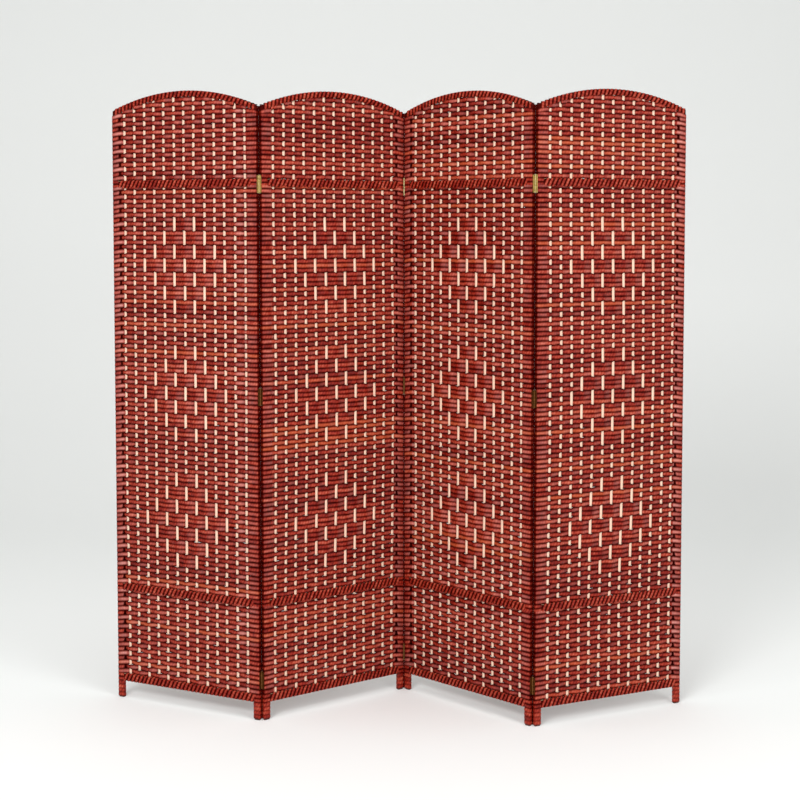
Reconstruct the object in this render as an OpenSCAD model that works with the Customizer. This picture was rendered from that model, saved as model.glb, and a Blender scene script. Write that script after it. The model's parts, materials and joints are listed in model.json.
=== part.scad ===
// Folding room divider: four arched panels of woven paper rope on timber frames, hinged in a zigzag.
// A panel is drawn in its own frame: X across from its left edge, +Y to its back, Z up from the floor.

/* [Panel] */
// Width of one panel over its wrapped stiles
panel_w = 500; // [440:10:560]
// Height of a panel at its outer edges
edge_h = 1750; // [1700:10:1900]
// Height of the arch above those edges
arch_rise = 50; // [30:5:70]
// Height of the legs under the bottom rail
leg_h = 50; // [40:5:70]

/* [Frame] */
// Width of a bare stile
stile_w = 17; // [15:1:20]
// Depth of a bare stile
stile_d = 9; // [9:1:12]
// Chamfer on a stile's long edges
stile_chamfer = 1.5; // [1:0.5:2]
// Thickness of each cross lath
lath_t = 3; // [2:0.5:3]
// Length of each lath's end that is let into a stile
lath_in = 8; // [6:1:10]
// Diameter of the nails through the lath ends
nail_d = 1.8; // [1.4:0.2:2.2]

/* [Stakes and rope] */
// Number of flat vertical stakes in a panel
stake_count = 13; // [9:2:13]
// Width of a stake
stake_w = 8; // [6:1:9]
// Thickness of a stake
stake_t = 3; // [2:0.5:3]
// Distance from a panel's edge to the middle of its first stake
stake_margin = 41.8; // [40:0.1:46]
// Thickness of the flattened rope
rope_t = 2; // [2:0.1:2.5]

/* [Bands] */
// Height of the lower band's middle
lower_band_z = 337; // [300:1:360]
// Height of the upper band's middle
upper_band_z = 1534; // [1500:1:1560]
// Height of the lower and upper bands
band_h = 24; // [18:1:28]
// Height of the wrapped bottom rail
rail_h = 25; // [20:1:30]
// Height of the wrapped arch
arch_h = 18; // [16:1:20]

/* [Hinges] */
// Height of the bottom hinges' middles
hinge_low = 115; // [110:1:140]
// Height of the middle hinges' middles
hinge_mid = 930; // [850:10:1000]
// Height of the top hinges' middles
hinge_top = 1530; // [1529:1:1531]
// Length of a hinge
hinge_len = 50; // [44:2:56]
// Thickness of a leaf
leaf_t = 1; // [0.8:0.1:1]
// Outer diameter of a knuckle
knuckle_d = 5; // [4.8:0.1:5.2]
// Diameter of a hinge pin
pin_d = 2.2; // [1.8:0.1:2.3]
// Gap between two panels laid flat or folded shut
panel_gap = 0.4; // [0.4:0.1:0.8]

/* [Zigzag] */
// Heading of panel 1 from the X axis, in degrees
heading_1 = -27; // [-50:1:-15]
// Heading of panel 2
heading_2 = 37; // [15:1:50]
// Heading of panel 3
heading_3 = -45; // [-50:1:-15]
// Heading of panel 4
heading_4 = 26; // [15:1:50]

/* [Hidden] */
$fn = 48;
PANELS = [1 : 4];
JOINTS = [1 : 3];
SIDES = [-1, 1];

// Wrapped sizes
wrap_w = stile_w + 2 * rope_t;
wrap_d = stile_d + 2 * rope_t;
wrap_r = 1;
weft_t = 3;
field_half = stake_t / 2 + weft_t;
band_half = stake_t / 2 + lath_t + rope_t;

// Arch: one arc over the whole panel
arch_r = (pow(panel_w / 2, 2) + pow(arch_rise, 2)) / (2 * arch_rise);
arch_z = edge_h + arch_rise - arch_r;
arch_lath_top = arch_r - rope_t;
arch_lath_foot = arch_r - arch_h + rope_t;
arch_cuts = 20;
arch_reach = asin(panel_w / (2 * arch_lath_foot));
function bearing(i) = [sin(i * arch_reach / arch_cuts), cos(i * arch_reach / arch_cuts)];

// Small gaps between the pieces of one panel
seat_gap = 0.1;
field_gap = 0.2;
nail_gap = 0.05;
screw_gap = 0.05;

// Frame and stakes
lath_x = rope_t + stile_w - lath_in;
stake_foot = leg_h + rope_t + 0.5;
stake_pitch = (panel_w - 2 * stake_margin) / (stake_count - 1);
binding_foot = 3;
nail_len = stile_d - 0.4;

// Hinges: the leaves are let into the rope, and the pin lies just past the corner that folds shut
hinge_heights = [hinge_low, hinge_mid, hinge_top];
pin_x = panel_gap / 2;
pin_y = (wrap_d + panel_gap) / 2;
knuckle_gap = 0.3;
pin_bore_d = pin_d + 0.1;
pin_head_d = 3.8;
pin_head_h = 1;
knuckle_count = 5;
knuckle_len = hinge_len / knuckle_count;
knuckle_end_gap = 0.1;
leaf_edge_y = -3.5;
screw_d = 2.4;
screw_head_d = 4.6;
screw_head_h = 0.9;
screw_len = 12;
leaf_gap = 0.1;
screw_z = hinge_len * 0.3;

// Panel placement: each panel follows the one before it round their shared pin
headings = [heading_1, heading_2, heading_3, heading_4];
pin_sides = [1, -1, 1];
function turned(p, a) = [p[0] * cos(a) - p[1] * sin(a), p[0] * sin(a) + p[1] * cos(a)];
function right_pin(k) = [panel_w + pin_x, pin_sides[k - 1] * pin_y];
function left_pin(k) = [-pin_x, pin_sides[k - 2] * pin_y];
function chained(k) = k == 1
    ? [0, 0]
    : chained(k - 1) + turned(right_pin(k - 1), headings[k - 2]) - turned(left_pin(k), headings[k - 1]);
rounded_corners = [
    for (k = PANELS)
        for (x = [wrap_r, panel_w - wrap_r])
            for (y = [wrap_r - wrap_d / 2, wrap_d / 2 - wrap_r])
                chained(k) + turned([x, y], headings[k - 1])
];
corner_x = [for (p = rounded_corners) p[0]];
corner_y = [for (p = rounded_corners) p[1]];
middle = [(min(corner_x) + max(corner_x)) / 2, (min(corner_y) + max(corner_y)) / 2];

PANEL_PARTS = [
    "left_stile", "right_stile", "arch_laths", "band_laths", "bottom_laths", "nails", "stakes",
    "weave_upper", "weave_main", "weave_lower", "whipping", "leg_bindings", "hinge_screws"
];

// ---- Placing ----

module on_panel(k) {
    at = chained(k) - middle;
    translate([at[0], at[1], 0]) rotate([0, 0, headings[k - 1]]) children();
}

// A hinge is drawn with +X out of the panel's edge and its pin on +Y
module on_edge(side, pin_side) {
    translate([side < 0 ? 0 : panel_w, 0, 0])
        mirror([side < 0 ? 1 : 0, 0, 0])
            mirror([0, pin_side < 0 ? 1 : 0, 0])
                children();
}

function has_hinge(k, side) = side < 0 ? k > 1 : k < 4;
function stile_x(side) = side < 0 ? wrap_w / 2 : panel_w - wrap_w / 2;

// ---- Shared shapes ----

module rounded(w, d, r) {
    square([w - 2 * r, d], center = true);
    square([w, d - 2 * r], center = true);
    for (x = SIDES, y = SIDES)
        translate([x * (w / 2 - r), y * (d / 2 - r)])
            circle(r = r);
}

module chamfered(w, d, c) {
    difference() {
        square([w, d], center = true);
        for (x = SIDES, y = SIDES)
            translate([x * w / 2, y * d / 2])
                rotate(45)
                    square(c * sqrt(2), center = true);
    }
}

// Everything in the panel's plane that is under an arc about the arch's centre
module under_arc(r) {
    translate([panel_w / 2, 0, arch_z])
        rotate([90, 0, 0])
            cylinder(r = r, h = 2 * wrap_d, center = true);
    translate([-1, -wrap_d, -1]) cube([panel_w + 2, 2 * wrap_d, arch_z + 1]);
}

// Everything in the panel's plane that is over such an arc, from its centre up
module over_arc(r) {
    difference() {
        translate([-1, -wrap_d, arch_z]) cube([panel_w + 2, 2 * wrap_d, arch_r + 1]);
        translate([panel_w / 2, 0, arch_z])
            rotate([90, 0, 0])
                cylinder(r = r, h = 3 * wrap_d, center = true);
    }
}

module lath_pair(z0, z1, gap = 0) {
    for (side = SIDES)
        translate([lath_x - gap, side * (stake_t + lath_t) / 2 - lath_t / 2 - gap, z0 - gap])
            cube([panel_w - 2 * lath_x + 2 * gap, lath_t + 2 * gap, z1 - z0 + 2 * gap]);
}

// An arch lath from the side: sawn to the arch in short straight cuts
module arch_lath_outline(gap) {
    polygon(concat(
        [for (i = [-arch_cuts : arch_cuts]) (arch_lath_top + gap) * bearing(i)],
        [for (i = [-arch_cuts : arch_cuts]) (arch_lath_foot - gap) * bearing(-i)]
    ));
}

module arch_lath_pair(gap = 0) {
    intersection() {
        lath_pair(edge_h - 3 * arch_h, edge_h + arch_rise, gap);
        translate([panel_w / 2, 0, arch_z])
            rotate([90, 0, 0])
                linear_extrude(height = 2 * wrap_d, center = true)
                    arch_lath_outline(gap);
    }
}

module band_lath_pairs(gap = 0) {
    for (z = [lower_band_z, upper_band_z])
        lath_pair(z - band_h / 2 + rope_t, z + band_h / 2 - rope_t, gap);
}

module bottom_lath_pair(gap = 0) {
    lath_pair(leg_h + rope_t, leg_h + rail_h - rope_t, gap);
}

// One nail through each lath end
module nail_set(d) {
    nail_x = lath_x + lath_in / 2;
    arch_nail_z = arch_z + sqrt(pow(arch_r - arch_h / 2, 2) - pow(panel_w / 2 - nail_x, 2));
    for (z = [leg_h + rail_h / 2, lower_band_z, upper_band_z, arch_nail_z])
        for (x = [nail_x, panel_w - nail_x])
            translate([x, 0, z])
                rotate([90, 0, 0])
                    cylinder(d = d, h = nail_len, center = true);
}

module stile_blank(side, gap = 0) {
    intersection() {
        translate([stile_x(side), 0, 0])
            linear_extrude(height = edge_h + arch_rise)
                chamfered(stile_w, stile_d, stile_chamfer);
        under_arc(arch_lath_top + gap);
    }
}

module stake_set() {
    for (i = [0 : stake_count - 1]) {
        x = stake_margin + i * stake_pitch;
        reach = abs(x - panel_w / 2) + stake_w / 2;
        top = arch_z + sqrt(pow(arch_lath_top - 0.5, 2) - pow(reach, 2));
        translate([x - stake_w / 2, -stake_t / 2, stake_foot])
            cube([stake_w, stake_t, top - stake_foot]);
    }
}

// Shafts of the hinge screws that go into panel k
module screw_shafts(k, d) {
    for (side = SIDES)
        if (has_hinge(k, side))
            for (z = hinge_heights, dz = [-screw_z, screw_z])
                translate([side < 0 ? 0 : panel_w, 0, z + dz])
                    mirror([side < 0 ? 1 : 0, 0, 0])
                        translate([-screw_len - 0.5, 0, 0])
                            rotate([0, 90, 0])
                                cylinder(d = d, h = screw_len);
}

// Room for the leaves and knuckles on the edges of panel k
module hinge_room(k) {
    for (side = SIDES)
        if (has_hinge(k, side))
            on_edge(side, pin_sides[side > 0 ? k - 1 : k - 2])
                for (z = hinge_heights)
                    translate([0, 0, z]) {
                        translate([-leaf_t - leaf_gap, leaf_edge_y - leaf_gap, -hinge_len / 2 - leaf_gap])
                            cube([2 * leaf_t, wrap_d, hinge_len + 2 * leaf_gap]);
                        translate([pin_x, pin_y, 0])
                            cylinder(
                                d = knuckle_d + 2 * knuckle_gap,
                                h = hinge_len + 2 * pin_head_h + 2 * knuckle_gap,
                                center = true
                            );
                    }
}

// Rope between two heights: a slab across the panel and a wrap round each stile
module rope_field(z0, z1, half_t) {
    translate([wrap_w / 2, -half_t, z0])
        cube([panel_w - wrap_w, 2 * half_t, z1 - z0]);
    for (side = SIDES)
        translate([stile_x(side), 0, z0])
            linear_extrude(height = z1 - z0)
                rounded(wrap_w, wrap_d, wrap_r);
}

// The frame, stakes, screws and hinges that rope goes round
module rope_core(k) {
    for (side = SIDES)
        stile_blank(side, seat_gap);
    stake_set();
    arch_lath_pair(seat_gap);
    band_lath_pairs(seat_gap);
    bottom_lath_pair(seat_gap);
    screw_shafts(k, screw_d + 2 * screw_gap);
    hinge_room(k);
}

// ---- Sub-parts of a panel ----

module stile(k, side) {
    color("sienna")
        on_panel(k)
            difference() {
                stile_blank(side);
                arch_lath_pair(seat_gap);
                band_lath_pairs(seat_gap);
                bottom_lath_pair(seat_gap);
                nail_set(nail_d + 2 * nail_gap);
                screw_shafts(k, screw_d + 2 * screw_gap);
            }
}

module arch_laths(k) {
    color("peru")
        on_panel(k)
            difference() {
                arch_lath_pair();
                nail_set(nail_d + 2 * nail_gap);
            }
}

module band_laths(k) {
    color("peru")
        on_panel(k)
            difference() {
                band_lath_pairs();
                nail_set(nail_d + 2 * nail_gap);
            }
}

module bottom_laths(k) {
    color("peru")
        on_panel(k)
            difference() {
                bottom_lath_pair();
                nail_set(nail_d + 2 * nail_gap);
            }
}

module nails(k) {
    color("silver") on_panel(k) nail_set(nail_d);
}

module stakes(k) {
    color("bisque") on_panel(k) stake_set();
}

module weave_upper(k) {
    color("firebrick")
        on_panel(k)
            difference() {
                intersection() {
                    rope_field(upper_band_z + band_h / 2, edge_h + arch_rise, field_half);
                    under_arc(arch_r - arch_h - field_gap);
                }
                rope_core(k);
            }
}

module weave_main(k) {
    color("firebrick")
        on_panel(k)
            difference() {
                rope_field(lower_band_z + band_h / 2, upper_band_z - band_h / 2, field_half);
                rope_core(k);
            }
}

module weave_lower(k) {
    color("firebrick")
        on_panel(k)
            difference() {
                rope_field(leg_h + rail_h, lower_band_z - band_h / 2, field_half);
                rope_core(k);
            }
}

module whipping(k) {
    color("brown")
        on_panel(k)
            difference() {
                union() {
                    intersection() {
                        rope_field(edge_h - 3 * arch_h, edge_h + arch_rise, band_half);
                        under_arc(arch_r);
                        over_arc(arch_r - arch_h);
                    }
                    for (z = [lower_band_z, upper_band_z])
                        rope_field(z - band_h / 2, z + band_h / 2, band_half);
                    rope_field(leg_h, leg_h + rail_h, band_half);
                }
                rope_core(k);
            }
}

module leg_bindings(k) {
    color("brown")
        on_panel(k)
            difference() {
                for (side = SIDES)
                    translate([stile_x(side), 0, binding_foot])
                        linear_extrude(height = leg_h - binding_foot)
                            rounded(wrap_w, wrap_d, wrap_r);
                for (side = SIDES)
                    stile_blank(side);
            }
}

// ---- Hinges ----

function knuckle_foot(i) = -hinge_len / 2 + i * knuckle_len;

// One leaf about its hinge's middle, with knuckles first, first + 2 and so on
module leaf(first) {
    difference() {
        union() {
            translate([-leaf_t, leaf_edge_y, -hinge_len / 2])
                cube([leaf_t, pin_y - leaf_edge_y, hinge_len]);
            for (i = [first : 2 : knuckle_count - 1])
                translate([pin_x, pin_y, knuckle_foot(i) + knuckle_end_gap])
                    cylinder(d = knuckle_d, h = knuckle_len - 2 * knuckle_end_gap);
        }
        translate([pin_x, pin_y, -hinge_len])
            cylinder(d = pin_bore_d, h = 2 * hinge_len);
        for (i = [1 - first : 2 : knuckle_count - 1])
            translate([pin_x, pin_y, knuckle_foot(i) - knuckle_end_gap])
                cylinder(d = knuckle_d + 2 * knuckle_gap, h = knuckle_len + 2 * knuckle_end_gap);
        for (z = [-screw_z, screw_z])
            translate([0, 0, z])
                screw_hole();
    }
}

// A countersunk screw pointing into the panel, its head's face at the origin
module screw_shape(gap = 0) {
    rotate([0, -90, 0]) {
        cylinder(d1 = screw_head_d + 2 * gap, d2 = screw_d + 2 * gap, h = screw_head_h);
        cylinder(d = screw_d + 2 * gap, h = screw_len);
    }
}

// The same shape with room round it, open past the leaf's face
module screw_hole() {
    screw_shape(screw_gap);
    rotate([0, 90, 0])
        cylinder(d = screw_head_d + 2 * screw_gap, h = leaf_t);
}

module leaves(j, side) {
    color("gold")
        on_panel(side > 0 ? j : j + 1)
            on_edge(side, pin_sides[j - 1])
                for (z = hinge_heights)
                    translate([0, 0, z])
                        leaf(side > 0 ? 0 : 1);
}

module hinge_screws(k) {
    color("goldenrod")
        on_panel(k)
            for (side = SIDES)
                if (has_hinge(k, side))
                    on_edge(side, 1)
                        for (z = hinge_heights, dz = [-screw_z, screw_z])
                            translate([0, 0, z + dz])
                                screw_shape();
}

module hinge_pin() {
    cylinder(d = pin_d, h = hinge_len + 2 * pin_head_h, center = true);
    for (z = SIDES)
        translate([0, 0, z * (hinge_len + pin_head_h) / 2])
            cylinder(d = pin_head_d, h = pin_head_h, center = true);
}

// The pins of the hinges on one edge of panel k
module edge_pins(k, side) {
    color("gold")
        on_panel(k)
            on_edge(side, pin_sides[side > 0 ? k - 1 : k - 2])
                for (z = hinge_heights)
                    translate([pin_x, pin_y, z])
                        hinge_pin();
}

module both_edge_pins(k) {
    for (side = SIDES)
        edge_pins(k, side);
}

for (k = PANELS) {
    stile(k, -1);
    stile(k, 1);
    arch_laths(k);
    band_laths(k);
    bottom_laths(k);
    nails(k);
    stakes(k);
    weave_upper(k);
    weave_main(k);
    weave_lower(k);
    whipping(k);
    leg_bindings(k);
    hinge_screws(k);
}
for (j = JOINTS) {
    leaves(j, 1);
    leaves(j, -1);
}
both_edge_pins(2);  // panel_2_hinge_pins
edge_pins(3, 1);  // panel_3_hinge_pins
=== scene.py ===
import json
import math

import bpy
import numpy as np
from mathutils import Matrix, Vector


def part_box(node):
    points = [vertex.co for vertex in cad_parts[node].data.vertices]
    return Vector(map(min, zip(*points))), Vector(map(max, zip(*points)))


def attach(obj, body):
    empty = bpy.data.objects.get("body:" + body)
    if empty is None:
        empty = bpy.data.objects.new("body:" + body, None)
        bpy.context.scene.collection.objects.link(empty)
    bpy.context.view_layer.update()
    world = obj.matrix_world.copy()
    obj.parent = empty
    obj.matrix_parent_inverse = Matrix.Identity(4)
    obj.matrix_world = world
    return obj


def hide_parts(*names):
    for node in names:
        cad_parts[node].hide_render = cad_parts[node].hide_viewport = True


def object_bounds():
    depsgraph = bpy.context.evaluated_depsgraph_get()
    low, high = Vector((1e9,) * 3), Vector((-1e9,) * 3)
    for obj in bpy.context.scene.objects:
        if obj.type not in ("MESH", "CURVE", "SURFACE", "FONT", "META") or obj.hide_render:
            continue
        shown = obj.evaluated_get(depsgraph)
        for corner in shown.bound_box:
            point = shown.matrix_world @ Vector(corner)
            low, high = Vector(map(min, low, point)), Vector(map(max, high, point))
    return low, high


# A woven folding screen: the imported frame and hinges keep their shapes, and the rope, the stakes, the light and the
# floor are made here. Each panel is worked in its own frame, in metres: u across from its left edge, v to its back
# and z up. At a stile, e is the distance in from the panel's edge.

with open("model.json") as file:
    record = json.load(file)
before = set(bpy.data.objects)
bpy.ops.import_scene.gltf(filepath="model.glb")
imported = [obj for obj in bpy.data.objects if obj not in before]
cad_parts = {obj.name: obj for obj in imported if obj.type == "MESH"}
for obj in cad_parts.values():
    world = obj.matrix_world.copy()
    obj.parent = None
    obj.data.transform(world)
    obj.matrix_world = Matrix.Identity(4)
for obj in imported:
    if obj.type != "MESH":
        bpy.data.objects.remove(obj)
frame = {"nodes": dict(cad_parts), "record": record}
cad_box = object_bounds()

MM = 0.001
PANELS = (1, 2, 3, 4)
random = np.random.default_rng(20240611)
UP = np.array([0.0, 0.0, 1.0])
THROUGH = np.array([0.0, 1.0, 0.0])
ACROSS = np.array([1.0, 0.0, 0.0])

# Weave
MAIN_ROWS = 88
LOWER_ROWS = 18
UPPER_ROWS = 18
# Under each band a little of one more row shows
ROW_SHOWING = 4.5 * MM
# Each diamond: the row at its middle, blocks above and below it, rows in a block and floats in the widest block
DIAMOND_ROWS = (16, 44, 72)
DIAMOND_REACH = 3
BLOCK_ROWS = 3
WIDEST_BLOCK = 5
# A rope's width, and how far it is drawn in at a stake, as shares of the pitch of the rows
ROPE_SPREAD = 1.16
ROPE_PINCH = 0.34
PINCH_REACH = 4.2 * MM
ROPE_HALF_T = 2.2 * MM
RINGS_PER_GAP = 6
# A float's bow towards the stakes that it passes over
FLOAT_SAG = 0.2
# Waves along a row, in radians a metre, and how much they lift and swell it
ROW_WAVE = 0.35 * MM
ROW_SWELL = 0.035
WAVES = (23.0, 61.0, 140.0)
WAVES_EVENED = 1.7
SWELLS = (47.0, 113.0, 190.0)
# How softly a row bends where it meets the arch, and how much of it, as a share of the pitch, still shows there
ARCH_SOFTEN = 4 * MM
ARCH_TUCK = 0.4
# The edge where each panel's rope turns back: a row goes over the stile there and comes back behind it
TURN_EDGE = {1: -1, 2: 1, 3: -1, 4: 1}
# Half widths of rope at a stile, as shares of the pitch: in pairs of turns, row by row, and behind it
STILE_SPREAD = 0.54
OVER_SPREAD = 0.515
BEHIND_SPREAD = 0.5
# Rope in the depth of a folded joint, this close to the panel's edge, is given painted shade of this depth
STILE_SHADE = 1.6 * MM
DEEP_SHADE = 1.65
# How far the stakes of each panel stray sideways at mid height, and the share of them that stray where only some do
STAKE_BOW = {1: -5 * MM, 2: 7 * MM, 3: 1.5 * MM, 4: 7.5 * MM}
STRAY_SHARE = 0.35
EVEN_BOW = 0.75
# Smaller waves in the stakes: size, radians from stake to stake, which way the panel's seed counts, radians a metre up
STAKE_WAVES = ((0.8 * MM, 2.1, 1, 5.0), (0.5 * MM, 4.7, -1, 11.0))
PANEL_SEED = 1.7
# Lowest and highest strength of the painted pink shine, a highlight painted into the rope's colour: at loose ends of
# rows, at other ends, on the second turn of a pair, on floats, and at the first panel's hinged edge. Along a row it
# follows the slope, this many times over.
LOOSE_SHINE = (0.3, 1.0)
END_SHINE = (0.0, 0.4)
PAIR_SHINE = (0.0, 0.6)
FLOAT_SHINE = (0.2, 0.6)
FIRST_SHINE = (0.3, 0.6)
FLOAT_SLOPE = 2
FIRST_SLOPE = 2.5
# The painted shine at a row's end starts at the first of these, capped at 1, and falls by the second over its length
END_SHINE_TAPER = (1.3, 3)
TURN_TONES = 0.8
WOUND_TONES = (0.3, 0.9)

# Rope round the frame. It is thin and sunk under a hinge leaf, and rounder at the corner beside the pins.
WRAP_HALF_T = 1.15 * MM
WRAP_CORNER = 0.9 * MM
WOUND_HALF_T = 1.5 * MM
WOUND_CORNER = 2 * WRAP_CORNER
WOUND_SPREAD = 0.47
# How far rope runs on under what it meets
LAP = 3 * MM
BAND_LAP = 2 * MM
LEAF_ROOM = 1.1 * MM
SUNK_HALF_T = 0.4 * MM
PIN_CORNER = 3.4 * MM
# Where a row on its way over a stile comes to the front
STILE_RUN = 9 * MM
STILE_RUN_V = 3.2 * MM
TURN_PITCH = 13.6 * MM
BAND_SLANT = 5 * MM
ARCH_SLANT = 2.5 * MM
# A turn on a stile starts at this share of its pitch and drops by this share of it
LEG_PITCH = 13.4 * MM
LEG_START = 0.6
LEG_DROP = 0.2
# The painted edge shadow on the legs' rope is scaled by this
LEG_SHADE = 0.6
# The arch's turns lean with it except near its ends, within this many times its height
UPRIGHT_REACH = 5
# Cores under the rope, the fin that closes each field beside its stile, and the cord and thread at the pins, all in
# the rope's material and painted as its deepest shadow
CORE_INSET = 1.5 * MM
FIN_W = 11 * MM
FIN_HALF_T = 0.8 * MM
CORD_HALF = 1.1 * MM
CORD_INSET = 1.0 * MM
CORD_GAP = 0.5 * MM
THREAD_HALF = 0.15 * MM
PIN_OUT = 0.2 * MM
# Sides of a tube, where round it the painted shadow is deepest, and powers that square its section: 1 is round
SIDES = 8
SHADOW_GIRTH = 0.25
STAKE_POWER = 0.35
BAND_POWER = 0.3
STILE_POWER = 0.2
CORD_POWER = 0.05
STAKE_RINGS = 60
ARCH_RINGS = 41

# Materials
LAY_LENGTH = 9 * MM
ROPE_SPECULAR = 0.22
# How much each of these moves the rope's colour
STRAND_SHARE, MOTTLE_SHARE, TONE_SHARE, FIBRE_SHARE = 0.10, 0.7, 0.22, 0.22
GLARE_SHARE = 0.6
# Brass is darkened with painted shade below the first of these shares of the whole height and left bright above the
# second
LOW_SHADE_FROM, LOW_SHADE_TO = 0.6, 0.8

# Camera, at the height and angle of the photograph
CAMERA_PLACE = (0.0083, -4.4287, 1.4157)
CAMERA_DOWN = 3.556
CAMERA_LENS = 68.88
CAMERA_SHIFT = -0.10
SENSOR_WIDTH = 36.0


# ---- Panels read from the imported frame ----

def corners(node_name):
    return np.array([vertex.co for vertex in frame["nodes"][node_name].data.vertices], float)


class Panel:
    """One panel's own frame and the sizes of what is in it."""

    def __init__(self, number):
        self.number = number
        self.name = f"panel_{number}"
        boxes = [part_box(f"{self.name}_{side}_stile") for side in ("left", "right")]
        left, right = [(np.array(low) + np.array(high))[:2] / 2 for low, high in boxes]
        self.across = (right - left) / np.linalg.norm(right - left)
        self.back = np.array([-self.across[1], self.across[0]])
        self.origin = left
        self.origin = left + self.across * self.span("whipping")[0][0]
        self.width, self.half_depth, self.top = self.span("whipping")[1]
        stile_low, stile_high = self.span("left_stile")
        self.wrap_w = stile_low[0] + stile_high[0]
        stake_points = self.local(corners(f"{self.name}_stakes"))
        edges = np.unique(np.round(stake_points[:, 0], 5)).reshape(-1, 2)
        self.stakes = edges.mean(axis=1)
        self.stake_w = float(np.mean(edges[:, 1] - edges[:, 0]))
        self.stake_t = float(np.ptp(stake_points[:, 1]))
        self.stake_foot = float(stake_points[:, 2].min())
        heights = ("leg_bindings", "weave_lower", "weave_main", "weave_upper")
        self.legs, self.lower, self.main, self.upper = [[end[2] for end in self.span(part)] for part in heights]
        skin = self.local(corners(f"{self.name}_whipping"))
        self.edge_top = float(skin[skin[:, 0] < 0.1 * MM, 2].max())
        rise = self.top - self.edge_top
        self.arch_r = (self.width ** 2 / 4 + rise ** 2) / (2 * rise)
        self.arch_z = self.top - self.arch_r
        self.arch_h = self.top - self.upper[1]
        self.hinges = {}
        if number > PANELS[0]:
            self.hinges[-1] = self.hinge(f"hinge_{number - 1}_right_leaves")
        if number < PANELS[-1]:
            self.hinges[1] = self.hinge(f"hinge_{number}_left_leaves")

    def local(self, points):
        flat = points[:, :2] - self.origin
        return np.column_stack([flat @ self.across, flat @ self.back, points[:, 2]])

    def world(self, points):
        flat = self.origin + np.outer(points[:, 0], self.across) + np.outer(points[:, 1], self.back)
        return np.column_stack([flat, points[:, 2]])

    def span(self, part):
        points = self.local(corners(f"{self.name}_{part}"))
        return points.min(axis=0), points.max(axis=0)

    def hinge(self, node_name):
        """The face the pins are on, and the heights that each leaf covers."""
        points = self.local(corners(node_name))
        pin_side = 1 if points[:, 1].max() > self.half_depth else -1
        heights = np.unique(np.round(points[:, 2], 4))
        groups = np.split(heights, np.nonzero(np.diff(heights) > self.width / 4)[0] + 1)
        return pin_side, [(group.min(), group.max()) for group in groups]

    def leaf_at(self, side, z, reach):
        """The pin's face if a hinge leaf lies on this edge at height z, otherwise 0."""
        pin_side, leaves = self.hinges.get(side, (0, []))
        return pin_side if any(low - reach < z < high + reach for low, high in leaves) else 0

    def underside(self, u):
        """Height of the arch's underside over u."""
        return self.arch_z + np.sqrt((self.arch_r - self.arch_h) ** 2 - (u - self.width / 2) ** 2)

    def stake_shift(self, z):
        """How far each stake stands from its straight place at height z."""
        low, high = self.main
        share = math.sin(math.pi * min(max((z - low) / (high - low), 0), 1))
        column = np.linspace(0, 1, len(self.stakes))
        if TURN_EDGE[self.number] < 0 and STAKE_BOW[self.number] < 0:
            reach = np.clip(1 - column / STRAY_SHARE, 0, 1)
        else:
            reach = EVEN_BOW + (1 - EVEN_BOW) * np.sin(math.pi * column)
        i = np.arange(len(self.stakes))
        seed = self.number * PANEL_SEED
        waves = sum(size * np.sin(i * apart + way * seed + z * up) for size, apart, way, up in STAKE_WAVES)
        return STAKE_BOW[self.number] * reach * share + waves


# ---- Meshes ----

def path_normals(u, v):
    """Unit normals of a path in the (u, v) plane, to its left."""
    du, dv = np.diff(u), np.diff(v)
    length = np.hypot(du, dv)
    du, dv = du / length, dv / length
    tu = np.concatenate([du[:1], du[1:] + du[:-1], du[-1:]])
    tv = np.concatenate([dv[:1], dv[1:] + dv[:-1], dv[-1:]])
    length = np.hypot(tu, tv)
    return np.column_stack([-tv / length, tu / length, np.zeros(len(u))])


def power_of(value, power):
    return np.sign(value) * np.abs(value) ** power


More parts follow.
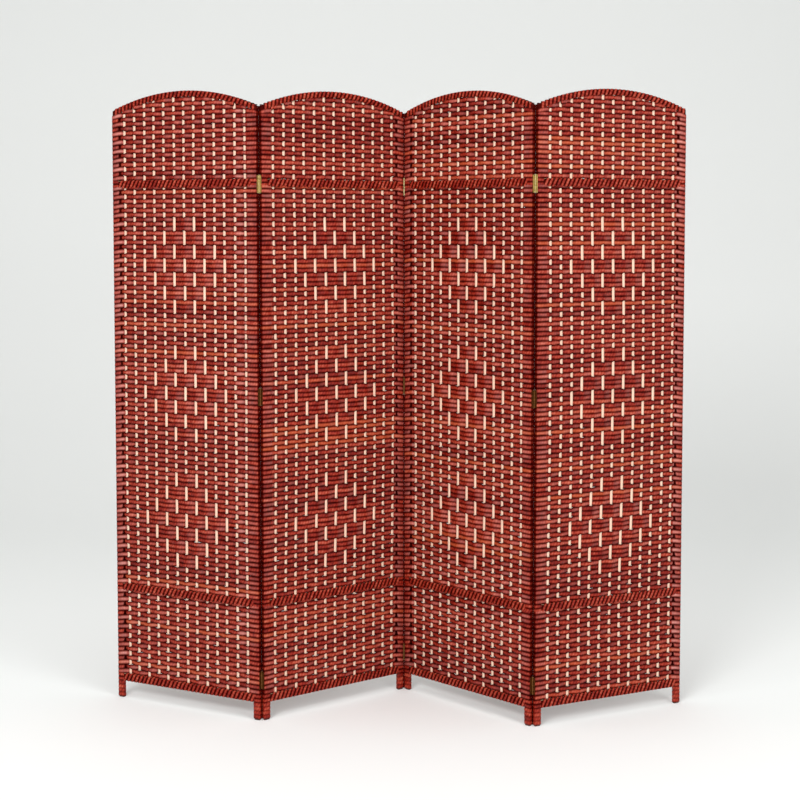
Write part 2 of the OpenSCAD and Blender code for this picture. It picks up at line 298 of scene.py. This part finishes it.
class Strands:
    """Gathers tubes into one mesh. Its UV map holds length along a tube and share of the way round it."""

    def __init__(self):
        self.points, self.faces, self.uvs, self.rings = [], [], [], []
        self.count = 0

    def tube(self, centres, normals, widths, half_t, half_w, tone=0.5, glare=0.0, shade=1.0, power=1.0, hidden=False):
        """A flattened tube. normals point through its thickness and widths across it; hidden ones are painted all over
        as deepest shadow.
        """
        n, s = len(centres), SIDES
        angle = np.arange(s) * 2 * math.pi / s
        half_t = np.broadcast_to(half_t, n)[:, None]
        half_w = np.broadcast_to(half_w, n)[:, None]
        rings = (
            centres[:, None, :]
            + np.broadcast_to(normals, (n, 3))[:, None, :] * (half_t * power_of(np.cos(angle), power))[..., None]
            + np.broadcast_to(widths, (n, 3))[:, None, :] * (half_w * power_of(np.sin(angle), power))[..., None]
        )
        step = np.linalg.norm(np.diff(centres, axis=0), axis=1)
        along = np.concatenate([[0.0], np.cumsum(step)]) + random.uniform(0, 1)
        i, j = [index.ravel() for index in np.meshgrid(np.arange(n - 1), np.arange(s), indexing="ij")]
        first = self.count + i * s
        turned = (j + 1) % s
        self.faces.extend(np.column_stack([first + j, first + turned, first + s + turned, first + s + j]).tolist())
        girth = np.column_stack([j, j + 1, j + 1, j]) / s
        if hidden:
            girth[:] = SHADOW_GIRTH
        length = np.column_stack([along[i], along[i], along[i + 1], along[i + 1]])
        self.uvs.append(np.column_stack([length.ravel(), girth.ravel()]))
        start, end = list(range(self.count, self.count + s)), self.count + (n - 1) * s
        self.faces.append(start[::-1])
        self.faces.append(list(range(end, end + s)))
        # End caps are painted as deepest shadow
        self.uvs.append(np.column_stack([np.repeat([along[0], along[-1]], s), np.full(2 * s, SHADOW_GIRTH)]))
        self.points.append(rings.reshape(-1, 3))
        looks = np.column_stack([np.broadcast_to(value, n) for value in (tone, glare, shade)])
        self.rings.append(np.repeat(looks, s, axis=0))
        self.count += n * s

    def build(self, name, panel, material, slot, replaced):
        mesh = bpy.data.meshes.new(name)
        mesh.from_pydata(panel.world(np.concatenate(self.points)).tolist(), [], self.faces)
        layer = mesh.uv_layers.new(name="rope")
        layer.data.foreach_set("uv", np.concatenate(self.uvs).ravel())
        for label, values in zip(("tone", "glare", "shade"), np.concatenate(self.rings).T):
            layer = mesh.attributes.new(label, "FLOAT", "POINT")
            layer.data.foreach_set("value", values)
        mesh.shade_smooth()
        mesh.materials.append(material)
        piece = bpy.data.objects.new(name, mesh)
        bpy.context.scene.collection.objects.link(piece)
        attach(piece, panel.name)
        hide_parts(f"{panel.name}_{replaced}")
        return piece


def rounded_loop(half_a, half_b, corner, steps=3):
    """One closed turn round a rounded rectangle, anticlockwise, with the direction of its surface at each point."""
    turn = np.concatenate([quarter * math.pi / 2 + np.linspace(0, math.pi / 2, steps) for quarter in range(4)])
    sign_a = np.repeat([1, -1, -1, 1], steps)
    sign_b = np.repeat([1, 1, -1, -1], steps)
    a = sign_a * (half_a - corner) + corner * np.cos(turn)
    b = sign_b * (half_b - corner) + corner * np.sin(turn)
    return a, b, turn


# ---- Rope at a stile ----

def corner_points(face, e0, v_sign, radius, thick, thin):
    """A rope's way round one corner of a stile, from its face to its side."""
    share = np.array([1.0, 0.3, 0.0])
    half_t = [thick, (thick + thin) / 2, thin]
    return np.column_stack([e0 + radius * share, v_sign * (face - radius * share[::-1]), half_t])


def edge_path(panel, side, z):
    """Rope round a stile's outside, front to back: rows of e, v and half thickness. It sinks under a hinge leaf."""
    face = panel.half_depth - WRAP_HALF_T
    pin_side = panel.leaf_at(side, z, LEG_PITCH / 2)
    e0, thin = (LEAF_ROOM + SUNK_HALF_T, SUNK_HALF_T) if pin_side else (WRAP_HALF_T, WRAP_HALF_T)
    ways = [
        corner_points(face, e0, v_sign, PIN_CORNER if v_sign == pin_side else WRAP_CORNER, WRAP_HALF_T, thin)
        for v_sign in (-1, 1)
    ]
    inner, middle = panel.wrap_w - LAP, panel.wrap_w / 2
    start, end = [[[e, v_sign * face, WRAP_HALF_T] for e in (inner, middle)] for v_sign in (-1, 1)]
    return np.vstack([start, ways[0], ways[1][::-1], end[::-1]])


def behind_path(panel):
    """Rope that comes to a stile from its back."""
    face = panel.half_depth - WRAP_HALF_T
    e = (panel.wrap_w + 1 * MM, panel.wrap_w - LAP, panel.wrap_w * 0.6)
    return np.column_stack([e, (face * 0.55, face, face), np.full(3, WRAP_HALF_T)])


def stile_end(panel, side, z, pitch, rope_behind):
    """A row's end at one stile: e, v, half thickness, rise and half width, from the field outwards."""
    turns_here = side == TURN_EDGE[panel.number]
    if turns_here and not rope_behind:
        path = behind_path(panel)
        return path, np.zeros(len(path)), np.full(len(path), pitch * BEHIND_SPREAD)
    comes_up = [[panel.wrap_w + STILE_RUN, STILE_RUN_V - panel.half_depth, ROPE_HALF_T]]
    path = np.vstack([comes_up, edge_path(panel, side, z)])
    if turns_here:
        return path, -pitch * np.linspace(0, 1, len(path)), np.full(len(path), pitch * STILE_SPREAD)
    return path, np.zeros(len(path)), np.full(len(path), pitch * OVER_SPREAD)


def stile_turn(panel, strands, side, z, pitch, drop, shade, glare=0.0):
    """One closed turn of rope round a stile, lower by the drop when it comes back to its start."""
    outside = edge_path(panel, side, z)
    e = panel.wrap_w - WRAP_HALF_T
    v = panel.half_depth - WRAP_HALF_T - WRAP_CORNER
    inside = np.array([[e, v, WRAP_HALF_T], [e, 0, WRAP_HALF_T], [e, -v, WRAP_HALF_T]])
    path = np.vstack([inside[1:], outside, inside[:2]])
    u = path[:, 0] if side < 0 else panel.width - path[:, 0]
    share = np.linspace(0, 1, len(path))
    centres = np.column_stack([u, path[:, 1], z - drop * share])
    glare = glare * np.clip(1 - 2 * share, 0, 1)
    normals = path_normals(u, path[:, 1])
    strands.tube(centres, normals, UP, path[:, 2], pitch * STILE_SPREAD, random.uniform(0, TURN_TONES), glare, shade)


# ---- Weft ----

def plain_weave(row, columns):
    """Which stakes stand in front of a row's rope."""
    return (row + columns) % 2 == 1


def main_weave(row, columns):
    """Plain weave with three diamonds of long floats."""
    in_front = plain_weave(row, columns)
    middle = len(columns) // 2
    for centre in DIAMOND_ROWS:
        block = round((row - centre) / BLOCK_ROWS)
        if abs(row - centre - block * BLOCK_ROWS) * 2 < BLOCK_ROWS and abs(block) <= DIAMOND_REACH:
            reach = WIDEST_BLOCK - abs(block) - 1
            inside = np.abs(columns - middle) <= reach
            in_front = np.where(inside, (columns - middle + reach) % 2 == 0, in_front)
    return in_front


def row_end(panel, side, z, pitch, rope_behind):
    """A row's end at one stile: u, v, half thickness, rise, half width and glare, from the field outwards."""
    path, rise, half_w = stile_end(panel, side, z, pitch, rope_behind)
    loose = side == TURN_EDGE[panel.number] and rope_behind and side not in panel.hinges
    start, fall = END_SHINE_TAPER
    shine_taper = np.clip(start - fall * np.linspace(0, 1, len(path)), 0, 1)
    glare = shine_taper * random.uniform(*(LOOSE_SHINE if loose else END_SHINE))
    if side > 0:
        path = path * [-1, 1, 1] + [panel.width, 0, 0]
    return np.column_stack([path, rise, half_w, glare])


def row_path(stakes, depth, start, end):
    """A row's way between the stiles, at this depth by each stake: its u and v. A float bows towards its stakes."""
    knots_u = np.concatenate([[start[0]], stakes, [end[0]]])
    knots_v = np.concatenate([[start[1]], depth, [end[1]]])
    step = np.arange(RINGS_PER_GAP) / RINGS_PER_GAP
    ease = 0.5 - 0.5 * np.cos(math.pi * step)
    u, v = [], []
    for i in range(len(knots_u) - 1):
        sag = 1 - FLOAT_SAG * np.sin(math.pi * step) if knots_v[i] * knots_v[i + 1] > 0 else 1.0
        u.append(knots_u[i] + (knots_u[i + 1] - knots_u[i]) * step)
        v.append((knots_v[i] + (knots_v[i + 1] - knots_v[i]) * ease) * sag)
    return np.concatenate(u)[1:], np.concatenate(v)[1:]


def weft_row(panel, z, pitch, behind, above, below):
    """One row of rope as columns of u, v, z, half thickness, half width, glare and shade. It is drawn in where it
    passes in front of a stake that shows in the row above or below.
    """
    stakes = panel.stakes + panel.stake_shift(z)
    left, right = [row_end(panel, side, z, pitch, first) for side, first in ((-1, behind[0]), (1, behind[-1]))]
    lift = panel.stake_t / 2 + ROPE_HALF_T
    u, v = row_path(stakes, np.where(behind, lift, -lift), left[0], right[0])
    near = np.exp(-(((u[:, None] - stakes[None, :]) / PINCH_REACH) ** 4))
    drawn_above, drawn_below = [(near * (~behind & shown)).max(axis=1) * ROPE_PINCH / 2 for shown in (above, below)]
    rise = pitch / 2 * (drawn_below - drawn_above)
    half_w = pitch / 2 * (ROPE_SPREAD - drawn_above - drawn_below)
    slope = np.gradient(v, u)
    # Painted highlight where the row slopes, and near the first panel's hinged edge
    glare = np.clip(slope * FLOAT_SLOPE, 0, 1) * random.uniform(*FLOAT_SHINE)
    if panel.number == PANELS[0]:
        last = u > stakes[-2]
        glare = glare + last * np.clip(slope * FIRST_SLOPE, 0, 1) * random.uniform(*FIRST_SHINE)
    field = np.column_stack([u, v, np.full(len(u), ROPE_HALF_T), rise, half_w, glare])
    u, v, half_t, rise, half_w, glare = np.vstack([left[::-1], field, right]).T
    # Painted shade on rope at the sides of a hinged stile
    shade = np.ones(len(u))
    for side, edge in ((-1, u), (1, panel.width - u)):
        if side in panel.hinges:
            shade[edge < STILE_SHADE] = DEEP_SHADE
    phase = random.uniform(0, 2 * math.pi, 6)
    wave = sum(np.sin(u * f + p) for f, p in zip(WAVES, phase)) / WAVES_EVENED
    swell = 1 + ROW_SWELL * sum(np.sin(u * f + p) for f, p in zip(SWELLS, phase[3:]))
    return np.column_stack([u, v, z + ROW_WAVE * wave + rise, half_t, half_w * swell, glare, shade])


def add_row(strands, row):
    tone = random.uniform(0, 1)
    strands.tube(row[:, :3], path_normals(row[:, 0], row[:, 1]), UP, row[:, 3], row[:, 4], tone, row[:, 5], row[:, 6])


def add_turn(panel, strands, z, pitch, behind):
    """The second turn that a row which goes over the stile takes round it."""
    side = TURN_EDGE[panel.number]
    if behind[0 if side < 0 else -1]:
        stile_turn(panel, strands, side, z - pitch, pitch, pitch, 1.0, random.uniform(*PAIR_SHINE))


def weave_field(panel, low, high, rows, rule):
    strands = Strands()
    high -= ROW_SHOWING
    pitch = (high - low) / rows
    columns = np.arange(len(panel.stakes))
    for r in range(-1, rows):
        shown = [rule(i, columns) for i in (r, r - 1, r + 1)]
        z = high - (r + 0.5) * pitch
        add_row(strands, weft_row(panel, z, pitch, *shown))
        if r < rows - 1:
            add_turn(panel, strands, z, pitch, shown[0])
    return strands


def weave_arch(panel):
    """The upper field, counted up from its band. Rows that meet the arch bend along it and are tucked under it."""
    strands = Strands()
    low, high = panel.upper
    pitch = (high - low) / UPPER_ROWS
    columns = np.arange(len(panel.stakes))
    for r in range(1, UPPER_ROWS + 1):
        shown = [plain_weave(i, columns) for i in (r, r + 1, r - 1)]
        z = low + (r - 0.5) * pitch
        row = weft_row(panel, z, pitch, *shown)
        if r > 1 and z < panel.underside(panel.wrap_w):
            add_turn(panel, strands, z, pitch, shown[0])
        space = panel.underside(row[:, 0]) - row[:, 2]
        inside = np.nonzero(space > -pitch * ARCH_TUCK)[0]
        if len(inside) < 2 * RINGS_PER_GAP:
            continue
        row[:, 2] = panel.underside(row[:, 0]) - ARCH_SOFTEN * np.logaddexp(0, space / ARCH_SOFTEN)
        add_row(strands, row[inside[0] : inside[-1] + 1])
    return strands


# ---- Rope wound round the frame ----

def wind_band(panel, strands, low, high):
    """Rope wound round a band or rail between the stiles, over a core painted as deepest shadow."""
    z, half = (low + high) / 2, (high - low) / 2
    u0, u1 = panel.wrap_w - BAND_LAP, panel.width - panel.wrap_w + BAND_LAP
    a, b, turn = rounded_loop(half - WOUND_HALF_T, panel.half_depth - WOUND_HALF_T, WOUND_CORNER)
    turns = round((u1 - u0) / TURN_PITCH)
    pitch = (u1 - u0) / turns
    total = turns * len(a) + 1
    index = np.arange(total) % len(a)
    u = u0 + (u1 - u0) * np.linspace(0, 1, total) + BAND_SLANT * a[index] / half
    centres = np.column_stack([u, b[index], z + a[index]])
    normals = np.column_stack([np.zeros(total), np.sin(turn[index]), np.cos(turn[index])])
    tone = np.repeat(random.uniform(*WOUND_TONES, turns + 1), len(a))[:total]
    strands.tube(centres, normals, ACROSS, WOUND_HALF_T, pitch * WOUND_SPREAD, tone)
    core = np.array([[u0 - LAP, 0, z], [u1 + LAP, 0, z]])
    strands.tube(core, THROUGH, UP, panel.half_depth - CORE_INSET, half - CORE_INSET, power=BAND_POWER, hidden=True)


def wind_arch(panel, strands):
    """Rope wound round the arch. Its turns are square to it, and upright at its two ends."""
    half = panel.arch_h / 2
    mid_r = panel.arch_r - half
    a, b, turn = rounded_loop(half - WOUND_HALF_T, panel.half_depth - WOUND_HALF_T, WOUND_CORNER)
    reach = math.asin((panel.width / 2 - TURN_PITCH * 0.5) / mid_r)
    turns = round(2 * reach * mid_r / TURN_PITCH)
    total = turns * len(a) + 1
    index = np.arange(total) % len(a)
    place = np.linspace(-reach, reach, total)
    upright = np.clip((reach - np.abs(place)) * mid_r / (UPRIGHT_REACH * panel.arch_h), 0, 1)
    lean = place * upright
    stretch = 1 / np.cos(place - lean)
    place = place + ARCH_SLANT * a[index] / half / mid_r * upright
    radial = np.column_stack([np.sin(lean), np.zeros(total), np.cos(lean)])
    along = np.column_stack([np.cos(lean), np.zeros(total), -np.sin(lean)])
    middle_u, middle_z = panel.width / 2 + mid_r * np.sin(place), panel.arch_z + mid_r * np.cos(place)
    middle = np.column_stack([middle_u, b[index], middle_z])
    centres = middle + radial * (a[index] * stretch)[:, None]
    normals = radial * np.cos(turn[index])[:, None] + THROUGH * np.sin(turn[index])[:, None]
    tone = np.repeat(random.uniform(*WOUND_TONES, turns + 1), len(a))[:total]
    strands.tube(centres, normals, along, WOUND_HALF_T, 2 * reach * mid_r / turns * WOUND_SPREAD, tone)
    place = np.linspace(-reach, reach, ARCH_RINGS)
    radial = np.column_stack([np.sin(place), np.zeros(ARCH_RINGS), np.cos(place)])
    core = np.array([panel.width / 2, 0, panel.arch_z]) + radial * mid_r
    core_t, core_w = panel.half_depth - CORE_INSET, half - CORE_INSET
    strands.tube(core, THROUGH, radial, core_t, core_w, power=BAND_POWER, hidden=True)


def wind_stile(panel, strands, side, low, high, shade):
    """Separate turns of rope round a stile between two heights."""
    turns = max(1, round((high - low) / LEG_PITCH))
    pitch = (high - low) / turns
    for i in range(turns):
        stile_turn(panel, strands, side, low + (i + LEG_START) * pitch, pitch, pitch * LEG_DROP, shade)


def stile_cores(panel, strands):
    """The bundle under each stile's rope and the fin inside it are painted as deepest shadow. Beside the hinge pins a
    square cord fills the corner, and a thread on the joint's axis closes the line between the two panels' cords; these
    are painted as deepest shadow too.
    """
    foot, knee = panel.legs
    top = panel.edge_top - CORE_INSET
    middle = panel.wrap_w / 2
    bars = (
        (middle, panel.half_depth - CORE_INSET, middle - CORE_INSET, foot, top),
        (panel.wrap_w + FIN_W / 2, FIN_HALF_T, FIN_W / 2, knee, float(panel.underside(panel.wrap_w))),
    )
    for side in (-1, 1):
        for e, half_t, half_w, low, high in bars:
            u = e if side < 0 else panel.width - e
            core = np.array([[u, 0, low], [u, 0, high]])
            strands.tube(core, THROUGH, ACROSS, half_t, half_w, power=STILE_POWER, hidden=True)
        if side in panel.hinges:
            pin_side, leaves = panel.hinges[side]
            stops = [foot] + [z for leaf in leaves for z in leaf] + [top]
            u = CORD_INSET if side < 0 else panel.width - CORD_INSET
            v = pin_side * (panel.half_depth - CORD_INSET)
            for low, high in zip(stops[::2], stops[1::2]):
                ends = np.array([[low + CORD_GAP], [high - CORD_GAP]])
                cord = np.hstack([np.full((2, 1), u), np.full((2, 1), v), ends])
                strands.tube(cord, THROUGH, ACROSS, CORD_HALF, CORD_HALF, power=CORD_POWER, hidden=True)
                if side < 0:
                    thread = cord + [-PIN_OUT - u, pin_side * (panel.half_depth + PIN_OUT) - v, 0]
                    strands.tube(thread, THROUGH, ACROSS, THREAD_HALF, THREAD_HALF, hidden=True)


def wind_frame(panel):
    strands = Strands()
    bands = ((panel.legs[1], panel.lower[0]), (panel.lower[1], panel.main[0]), (panel.main[1], panel.upper[0]))
    for low, high in bands:
        wind_band(panel, strands, low, high)
        for side in (-1, 1):
            wind_stile(panel, strands, side, low, high, 1.0)
    wind_arch(panel, strands)
    stile_cores(panel, strands)
    return strands


def wind_legs(panel):
    strands = Strands()
    for side in (-1, 1):
        wind_stile(panel, strands, side, *panel.legs, LEG_SHADE)
    return strands


# ---- Stakes ----

def flat_stakes(panel):
    """Flat stakes with eased edges, standing a little out of true."""
    strands = Strands()
    tuck_r = panel.arch_r - LAP
    for i, u0 in enumerate(panel.stakes):
        reach = abs(u0 - panel.width / 2) + panel.stake_w / 2
        z = np.linspace(panel.stake_foot, panel.arch_z + math.sqrt(tuck_r ** 2 - reach ** 2), STAKE_RINGS)
        shift = np.array([panel.stake_shift(h)[i] for h in z])
        centres = np.column_stack([u0 + shift, np.zeros(len(z)), z])
        half_t, half_w = panel.stake_t / 2, panel.stake_w / 2
        strands.tube(centres, THROUGH, ACROSS, half_t, half_w, random.uniform(0, 1), power=STAKE_POWER)
    return strands


# ---- Materials ----

def new_material(name):
    material = bpy.data.materials.new(name)
    material.use_nodes = True
    return material, material.node_tree, material.node_tree.nodes["Principled BSDF"]


def node(tree, kind, **values):
    made = tree.nodes.new(kind)
    for key, value in values.items():
        if key in made.inputs:
            made.inputs[key].default_value = value
        else:
            setattr(made, key, value)
    return made


def ramp(tree, source, stops):
    made = tree.nodes.new("ShaderNodeValToRGB")
    elements = made.color_ramp.elements
    while len(elements) < len(stops):
        elements.new(0.5)
    for element, (place, colour) in zip(elements, stops):
        element.position = place
        element.color = (*colour, 1)
    tree.links.new(source, made.inputs["Fac"])
    return made.outputs["Color"]


def maths(tree, operation, *inputs):
    made = tree.nodes.new("ShaderNodeMath")
    made.operation = operation
    for socket, value in zip(made.inputs, inputs):
        if isinstance(value, (int, float)):
            socket.default_value = value
        else:
            tree.links.new(value, socket)
    return made.outputs[0]


def mix(tree, blend, share, a, b):
    made = tree.nodes.new("ShaderNodeMix")
    made.data_type = "RGBA"
    made.blend_type = blend
    for socket, value in ((made.inputs["Factor"], share), (made.inputs[6], a), (made.inputs[7], b)):
        if isinstance(value, (int, float)):
            socket.default_value = value
        elif isinstance(value, tuple):
            socket.default_value = (*value, 1)
        else:
            tree.links.new(value, socket)
    return made.outputs[2]


def attribute(tree, name):
    return node(tree, "ShaderNodeAttribute", attribute_name=name).outputs["Fac"]


def rope_material():
    """Twisted paper rope: strands across it, fibres along it, painted shadow at its edges, a painted pink highlight
    and a tone for each length.
    """
    material, tree, shader = new_material("red_paper_rope")
    uv = node(tree, "ShaderNodeUVMap", uv_map="rope")
    parts = tree.nodes.new("ShaderNodeSeparateXYZ")
    tree.links.new(uv.outputs["UV"], parts.inputs[0])
    along, girth = parts.outputs[0], parts.outputs[1]
    lay = maths(tree, "MULTIPLY", along, 2 * math.pi / LAY_LENGTH)
    lay = maths(tree, "ADD", lay, maths(tree, "MULTIPLY", girth, 4 * math.pi))
    strand = maths(tree, "MULTIPLY_ADD", maths(tree, "SINE", lay), 0.5, 0.5)
    coords = tree.nodes.new("ShaderNodeTexCoord")
    mottle = node(tree, "ShaderNodeTexNoise", Scale=75.0, Detail=4.0, Roughness=0.65)
    tree.links.new(coords.outputs["Object"], mottle.inputs["Vector"])
    fibre = node(tree, "ShaderNodeTexNoise", Scale=1.0, Detail=3.0, Roughness=0.7)
    stretched = tree.nodes.new("ShaderNodeCombineXYZ")
    tree.links.new(maths(tree, "MULTIPLY", along, 90.0), stretched.inputs[0])
    tree.links.new(maths(tree, "MULTIPLY", girth, 22.0), stretched.inputs[1])
    tree.links.new(stretched.outputs[0], fibre.inputs["Vector"])
    tone = attribute(tree, "tone")
    blend = maths(tree, "MULTIPLY", strand, STRAND_SHARE)
    blend = maths(tree, "MULTIPLY_ADD", mottle.outputs["Fac"], MOTTLE_SHARE, blend)
    blend = maths(tree, "SUBTRACT", blend, STRAND_SHARE)
    blend = maths(tree, "MULTIPLY_ADD", tone, TONE_SHARE, blend)
    blend = maths(tree, "MULTIPLY_ADD", fibre.outputs["Fac"], FIBRE_SHARE, blend)
    colour = ramp(tree, blend, [
        (0.34, (0.15, 0.004, 0.001)),
        (0.48, (0.28, 0.014, 0.005)),
        (0.60, (0.41, 0.044, 0.020)),
        (0.76, (0.58, 0.13, 0.080)),
    ])
    orange = ramp(tree, tone, [(0.91, (0, 0, 0)), (0.97, (0.5, 0.5, 0.5))])
    colour = mix(tree, "MIX", orange, colour, (0.50, 0.09, 0.02))
    # Painted pink highlight: the glare attribute mixes the rope's colour towards pale pink
    glare = maths(tree, "MULTIPLY", attribute(tree, "glare"), GLARE_SHARE)
    colour = mix(tree, "MIX", glare, colour, (0.80, 0.36, 0.32))
    # Painted shadow: the colour darkens towards the edges of each tube, deeper where the shade attribute is higher,
    # and the specular falls with it
    edge = maths(tree, "ABSOLUTE", maths(tree, "SINE", maths(tree, "MULTIPLY", girth, 2 * math.pi)))
    shade = attribute(tree, "shade")
    depth = maths(tree, "MULTIPLY", maths(tree, "MAXIMUM", edge, maths(tree, "SUBTRACT", shade, 1.25)), shade)
    shadow = ramp(tree, depth, [
        (0.15, (1, 1, 1)),
        (0.45, (0.68, 0.58, 0.55)),
        (0.70, (0.32, 0.18, 0.15)),
        (0.90, (0.15, 0.05, 0.04)),
    ])
    colour = mix(tree, "MULTIPLY", 1.0, colour, shadow)
    tree.links.new(colour, shader.inputs["Base Color"])
    tree.links.new(maths(tree, "MULTIPLY", shadow, ROPE_SPECULAR), shader.inputs["Specular IOR Level"])
    rough = maths(tree, "MULTIPLY_ADD", mottle.outputs["Fac"], 0.25, 0.36)
    tree.links.new(rough, shader.inputs["Roughness"])
    height = maths(tree, "MULTIPLY_ADD", strand, 0.7, maths(tree, "MULTIPLY", fibre.outputs["Fac"], 0.3))
    bump = node(tree, "ShaderNodeBump", Strength=0.35, Distance=0.0006)
    tree.links.new(height, bump.inputs["Height"])
    tree.links.new(bump.outputs["Normal"], shader.inputs["Normal"])
    return material


def wood_material(name, dark, light, grain, rough):
    material, tree, shader = new_material(name)
    coords = tree.nodes.new("ShaderNodeTexCoord")
    squash = tree.nodes.new("ShaderNodeMapping")
    squash.inputs["Scale"].default_value = (grain, grain, grain / 14)
    tree.links.new(coords.outputs["Object"], squash.inputs["Vector"])
    noise = node(tree, "ShaderNodeTexNoise", Scale=1.0, Detail=6.0, Roughness=0.62)
    tree.links.new(squash.outputs[0], noise.inputs["Vector"])
    tree.links.new(ramp(tree, noise.outputs["Fac"], [(0.3, dark), (0.7, light)]), shader.inputs["Base Color"])
    tree.links.new(maths(tree, "MULTIPLY_ADD", noise.outputs["Fac"], 0.2, rough), shader.inputs["Roughness"])
    bump = node(tree, "ShaderNodeBump", Strength=0.25, Distance=0.0004)
    tree.links.new(noise.outputs["Fac"], bump.inputs["Height"])
    tree.links.new(bump.outputs["Normal"], shader.inputs["Normal"])
    return material


def metal_material(name, dark, light, rough, low_shade=0.0):
    """Metal. The last argument, from 0 to 1, sets how much painted shade darkens what is below the upper band."""
    material, tree, shader = new_material(name)
    coords = tree.nodes.new("ShaderNodeTexCoord")
    noise = node(tree, "ShaderNodeTexNoise", Scale=220.0, Detail=3.0)
    tree.links.new(coords.outputs["Object"], noise.inputs["Vector"])
    parts = tree.nodes.new("ShaderNodeSeparateXYZ")
    tree.links.new(coords.outputs["Object"], parts.inputs[0])
    height = maths(tree, "DIVIDE", parts.outputs[2], cad_box[1][2])
    # Painted shade: the metal darkens below the upper band
    shaded_low = ramp(tree, height, [(LOW_SHADE_FROM, (0.42, 0.24, 0.16)), (LOW_SHADE_TO, (1, 1, 1))])
    metal_colour = ramp(tree, noise.outputs["Fac"], [(0.35, dark), (0.65, light)])
    tree.links.new(mix(tree, "MULTIPLY", low_shade, metal_colour, shaded_low), shader.inputs["Base Color"])
    shader.inputs["Metallic"].default_value = 1.0
    tree.links.new(maths(tree, "MULTIPLY_ADD", noise.outputs["Fac"], 0.2, rough), shader.inputs["Roughness"])
    return material


# ---- The object ----

rope = rope_material()
SLOT_MATERIALS = {
    "red_rope": rope,
    "pale_wood": wood_material("pale_wood", (0.80, 0.52, 0.38), (0.94, 0.66, 0.50), 160.0, 0.5),
    "stained_timber": wood_material("stained_timber", (0.035, 0.010, 0.007), (0.10, 0.03, 0.02), 120.0, 0.45),
    "raw_timber": wood_material("raw_timber", (0.42, 0.26, 0.13), (0.62, 0.43, 0.25), 120.0, 0.55),
    "hinge_brass": metal_material("hinge_brass", (0.42, 0.33, 0.14), (0.66, 0.55, 0.28), 0.25, 1.0),
    "screw_brass": metal_material("screw_brass", (0.40, 0.29, 0.11), (0.60, 0.46, 0.20), 0.3, 1.0),
    "nail_steel": metal_material("nail_steel", (0.40, 0.40, 0.41), (0.60, 0.60, 0.62), 0.35),
}

for part in frame["record"]["subparts"]:
    mesh = frame["nodes"][part["node"]].data
    mesh.materials.clear()
    mesh.materials.append(SLOT_MATERIALS[part["material_slot"]])

for number in PANELS:
    panel = Panel(number)
    pieces = (
        ("weft_upper", weave_arch(panel), "weave_upper"),
        ("weft_main", weave_field(panel, *panel.main, MAIN_ROWS, main_weave), "weave_main"),
        ("weft_lower", weave_field(panel, *panel.lower, LOWER_ROWS, plain_weave), "weave_lower"),
        ("wound_rope", wind_frame(panel), "whipping"),
        ("leg_rope", wind_legs(panel), "leg_bindings"),
    )
    for label, strands, replaced in pieces:
        strands.build(f"{panel.name}_{label}", panel, rope, "red_rope", replaced)
    flat_stakes(panel).build(f"{panel.name}_flat_stakes", panel, SLOT_MATERIALS["pale_wood"], "pale_wood", "stakes")


# ---- Stage, light and camera ----

def studio_floor():
    material, tree, shader = new_material("studio_floor")
    noise = node(tree, "ShaderNodeTexNoise", Scale=3.0, Detail=2.0)
    tint = ramp(tree, noise.outputs["Fac"], [(0.3, (0.87, 0.88, 0.87)), (0.7, (0.90, 0.91, 0.90))])
    tree.links.new(tint, shader.inputs["Base Color"])
    shader.inputs["Roughness"].default_value = 0.9
    width, front, bend, height, radius = 14.0, -7.0, 2.5, 7.0, 2.0
    profile = [(front, 0.0)]
    for turn in np.linspace(0, math.pi / 2, 12):
        profile.append((bend + radius * math.sin(turn), radius - radius * math.cos(turn)))
    profile.append((bend + radius, height))
    points = [(x, y, z) for y, z in profile for x in (-width, width)]
    faces = [(2 * i, 2 * i + 1, 2 * i + 3, 2 * i + 2) for i in range(len(profile) - 1)]
    mesh = bpy.data.meshes.new("studio_floor")
    mesh.from_pydata(points, [], faces)
    mesh.shade_smooth()
    mesh.materials.append(material)
    floor = bpy.data.objects.new("studio_floor", mesh)
    bpy.context.scene.collection.objects.link(floor)


def area_light(name, place, target, size, power):
    data = bpy.data.lights.new(name, "AREA")
    data.shape = "RECTANGLE"
    data.size, data.size_y = size
    data.energy = power
    lamp = bpy.data.objects.new(name, data)
    lamp.location = place
    lamp.rotation_euler = (Vector(target) - Vector(place)).to_track_quat("-Z", "Y").to_euler()
    bpy.context.scene.collection.objects.link(lamp)


def camera():
    data = bpy.data.cameras.new("camera")
    data.sensor_width = SENSOR_WIDTH
    data.lens = CAMERA_LENS
    data.shift_y = CAMERA_SHIFT
    view = bpy.data.objects.new("camera", data)
    view.location = CAMERA_PLACE
    view.rotation_euler = (math.radians(90 - CAMERA_DOWN), 0, 0)
    bpy.context.scene.collection.objects.link(view)
    bpy.context.scene.camera = view


studio_floor()
area_light("key", (-1.8, -4.6, 3.4), (0, 0, 0.9), (2.0, 1.4), 150)
area_light("fill", (3.0, -3.6, 2.4), (0, 0, 0.9), (2.0, 2.0), 60)
area_light("top", (0.0, -0.6, 4.6), (0, 0, 1.0), (3.0, 2.0), 60)
world = bpy.data.worlds.new("studio")
world.use_nodes = True
world.node_tree.nodes["Background"].inputs["Color"].default_value = (0.92, 0.93, 0.92, 1)
world.node_tree.nodes["Background"].inputs["Strength"].default_value = 0.6
bpy.context.scene.world = world
bpy.context.scene.view_settings.view_transform = "Standard"
camera()
